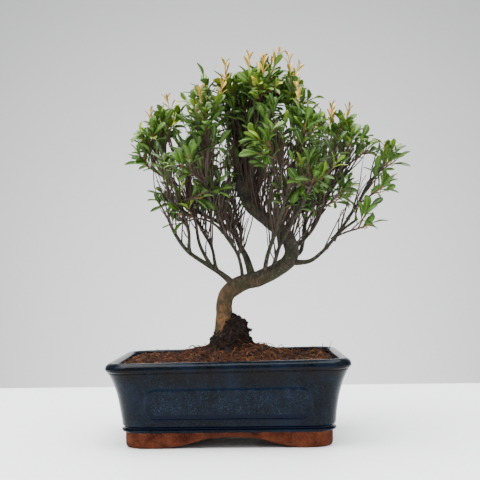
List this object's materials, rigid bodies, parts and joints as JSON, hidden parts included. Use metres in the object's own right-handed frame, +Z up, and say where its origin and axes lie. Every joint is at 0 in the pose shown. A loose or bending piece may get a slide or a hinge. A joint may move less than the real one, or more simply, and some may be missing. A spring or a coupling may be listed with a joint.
{
  "type": "brush cherry bonsai",
  "caption": "Small brush cherry bonsai with a curved trunk and an open leafy crown, in a flared blue-glazed rectangular pot.",
  "frame": {"origin": "middle of the whole object's box, on the surface that the pot stands on", "axes": "+Z up, +X along the pot's long side to the viewer's right, +Y to the back"},
  "size_m": [0.2602, 0.1964, 0.3328],
  "materials": {
    "glazed_stoneware": "gloss",
    "coir_soil": "matte",
    "bark": "matte",
    "leaf": "satin",
    "screen_plastic": "matte"
  },
  "bodies": {
    "root": {"drain_screen_left": "screen_plastic", "drain_screen_right": "screen_plastic", "pot": "glazed_stoneware", "soil": "coir_soil", "spray_01": "leaf", "spray_02": "leaf", "spray_03": "leaf", "spray_04": "leaf", "spray_05": "leaf", "spray_06": "leaf", "spray_07": "leaf", "spray_08": "leaf", "spray_09": "leaf", "spray_10": "leaf", "spray_11": "leaf", "spray_12": "leaf", "spray_13": "leaf", "spray_14": "leaf", "spray_15": "leaf", "spray_16": "leaf", "spray_17": "leaf", "spray_18": "leaf", "spray_19": "leaf", "spray_20": "leaf", "spray_21": "leaf", "spray_22": "leaf", "spray_23": "leaf", "spray_24": "leaf", "spray_25": "leaf", "spray_26": "leaf", "spray_27": "leaf", "spray_28": "leaf", "spray_29": "leaf", "spray_30": "leaf", "spray_31": "leaf", "spray_32": "leaf", "spray_33": "leaf", "spray_34": "leaf", "spray_35": "leaf", "spray_36": "leaf", "spray_37": "leaf", "spray_38": "leaf", "spray_39": "leaf", "spray_40": "leaf", "trunk": "bark"}
  },
  "joints": []
}
